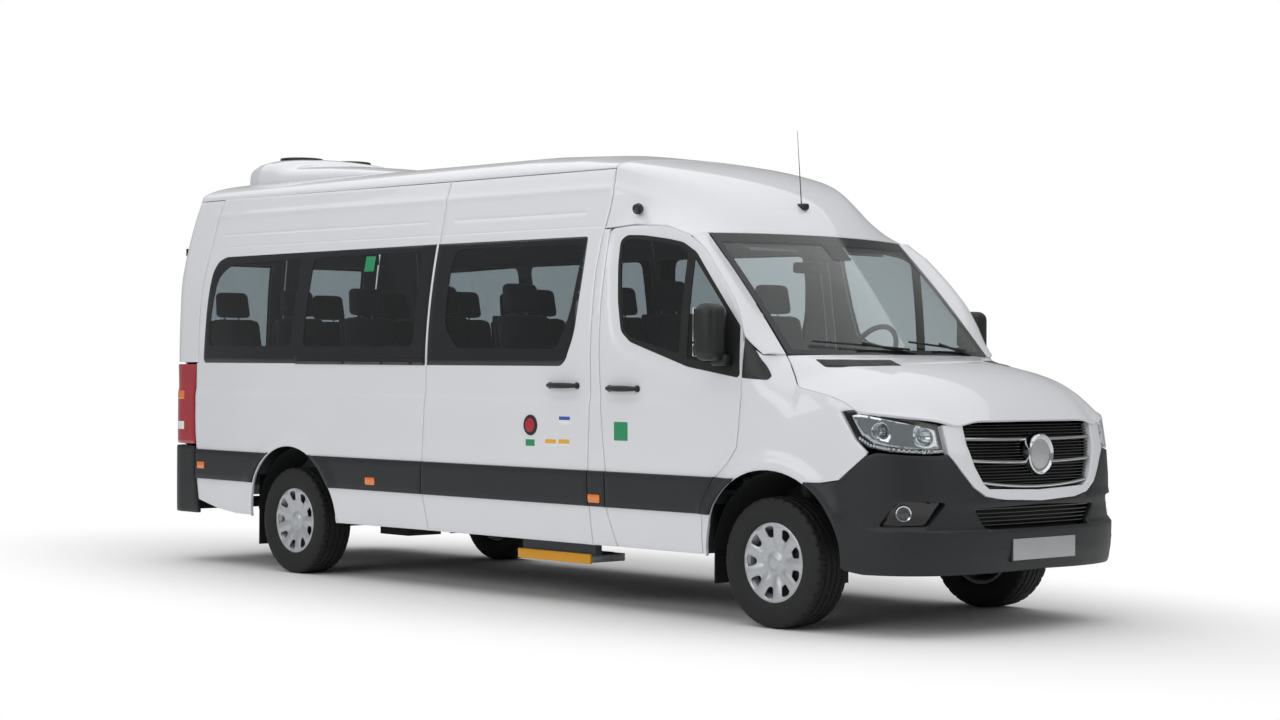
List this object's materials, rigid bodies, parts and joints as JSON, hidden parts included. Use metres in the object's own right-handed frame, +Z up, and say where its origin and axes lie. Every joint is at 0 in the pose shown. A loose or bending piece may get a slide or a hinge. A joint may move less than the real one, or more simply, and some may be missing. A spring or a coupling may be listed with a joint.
{
  "type": "minibus",
  "caption": "High-roof passenger minibus with glazed sides, sliding side door, twin rear doors, steered front wheels, roof air conditioner and an extending side step.",
  "frame": {"origin": "on the ground under the middle of the vehicle's bounding box", "axes": "+X forward along the length, +Y to the vehicle's left, +Z up"},
  "size_m": [6.967, 2.3238, 2.818],
  "materials": {
    "paint": "gloss",
    "dark_plastic": "satin",
    "black_plastic": "gloss",
    "clear_glass": "gloss",
    "lamp": "gloss",
    "red_lamp": "gloss",
    "chassis": "satin",
    "rubber": "matte",
    "tyre": "matte",
    "wheel_cover": "satin",
    "fabric": "matte",
    "trim": "matte",
    "steel": "satin",
    "iron": "matte"
  },
  "bodies": {
    "shell": {"floor_pan": "chassis", "chassis_rails": "chassis", "side_panel_left": "paint", "side_panel_right": "paint", "roof_panel": "paint", "windscreen_frame": "paint", "front_wings": "paint", "front_frame": "chassis", "front_bumper": "dark_plastic", "grille": "black_plastic", "headlamps": "lamp", "tail_lamps": "red_lamp", "rear_bumper": "dark_plastic", "fixed_windows": "clear_glass", "side_trim": "dark_plastic", "sliding_door": "paint", "roof_air_conditioner": "paint", "mud_flaps": "rubber", "dashboard": "trim", "seat_frames": "chassis", "seat_cushions": "fabric", "seat_backs": "fabric", "engine": "iron", "fuel_tank": "trim", "exhaust": "steel", "propeller_shaft": "chassis", "rear_axle_beam": "chassis", "front_suspension": "chassis", "spare_wheel": "tyre"},
    "front_door_left": {"front_door_left": "paint"},
    "front_door_right": {"front_door_right": "paint"},
    "rear_door_left": {"rear_door_left": "paint"},
    "rear_door_right": {"rear_door_right": "paint"},
    "bonnet": {"bonnet": "paint"},
    "side_step": {"side_step": "steel"},
    "steering_wheel": {"steering_wheel": "trim"},
    "knuckle_left": {"knuckle_left": "iron"},
    "knuckle_right": {"knuckle_right": "iron"},
    "wheel_front_left": {"tyre_front_left": "tyre", "rim_front_left": "wheel_cover"},
    "wheel_front_right": {"tyre_front_right": "tyre", "rim_front_right": "wheel_cover"},
    "wheel_rear_left": {"tyre_rear_left": "tyre", "rim_rear_left": "wheel_cover"},
    "wheel_rear_right": {"tyre_rear_right": "tyre", "rim_rear_right": "wheel_cover"}
  },
  "joints": [
    {"name": "steer_left", "type": "hinge", "parent": "shell", "child": "knuckle_left", "pos_m": [2.4535, 0.68, 0.346], "axis": [0, 0, 1], "range_deg": [-36, 36]},
    {"name": "spin_front_left", "type": "hinge", "parent": "knuckle_left", "child": "wheel_front_left", "pos_m": [2.4535, 0.856, 0.346], "axis": [0, 1, 0], "continuous": true},
    {"name": "spin_rear_left", "type": "hinge", "parent": "shell", "child": "wheel_rear_left", "pos_m": [-1.8715, 0.856, 0.346], "axis": [0, 1, 0], "continuous": true},
    {"name": "steer_right", "type": "hinge", "parent": "shell", "child": "knuckle_right", "pos_m": [2.4535, -0.68, 0.346], "axis": [0, 0, 1], "range_deg": [-36, 36]},
    {"name": "spin_front_right", "type": "hinge", "parent": "knuckle_right", "child": "wheel_front_right", "pos_m": [2.4535, -0.856, 0.346], "axis": [0, 1, 0], "continuous": true},
    {"name": "spin_rear_right", "type": "hinge", "parent": "shell", "child": "wheel_rear_right", "pos_m": [-1.8715, -0.856, 0.346], "axis": [0, 1, 0], "continuous": true},
    {"name": "steering_column", "type": "hinge", "parent": "shell", "child": "steering_wheel", "pos_m": [1.9135, 0.43, 1.44], "axis": [-0.8829, 0, 0.4695], "range_deg": [-541, 541]},
    {"name": "front_door_left", "type": "hinge", "parent": "shell", "child": "front_door_left", "pos_m": [2.2475, 1.002, 1.1], "axis": [0, 0.0297, -0.9996], "range_deg": [0, 68]},
    {"name": "front_door_right", "type": "hinge", "parent": "shell", "child": "front_door_right", "pos_m": [2.2475, -1.002, 1.1], "axis": [0, 0.0297, 0.9996], "range_deg": [0, 68]},
    {"name": "rear_door_left", "type": "hinge", "parent": "shell", "child": "rear_door_left", "pos_m": [-3.4405, 0.827, 1.3], "axis": [0, 0, -1], "range_deg": [0, 180]},
    {"name": "rear_door_right", "type": "hinge", "parent": "shell", "child": "rear_door_right", "pos_m": [-3.4405, -0.827, 1.3], "axis": [0, 0, 1], "range_deg": [0, 180]},
    {"name": "bonnet", "type": "hinge", "parent": "shell", "child": "bonnet", "pos_m": [2.4595, 0, 1.425], "axis": [0, -1, 0], "range_deg": [0, 55]},
    {"name": "side_step", "type": "slide", "parent": "shell", "child": "side_step", "axis": [0, -1, 0], "range_m": [0, 0.22]}
  ],
  "couplings": [
    {"joint": "steer_right", "follows": "steer_left", "ratio": 1},
    {"joint": "steering_column", "follows": "steer_left", "ratio": 15}
  ]
}
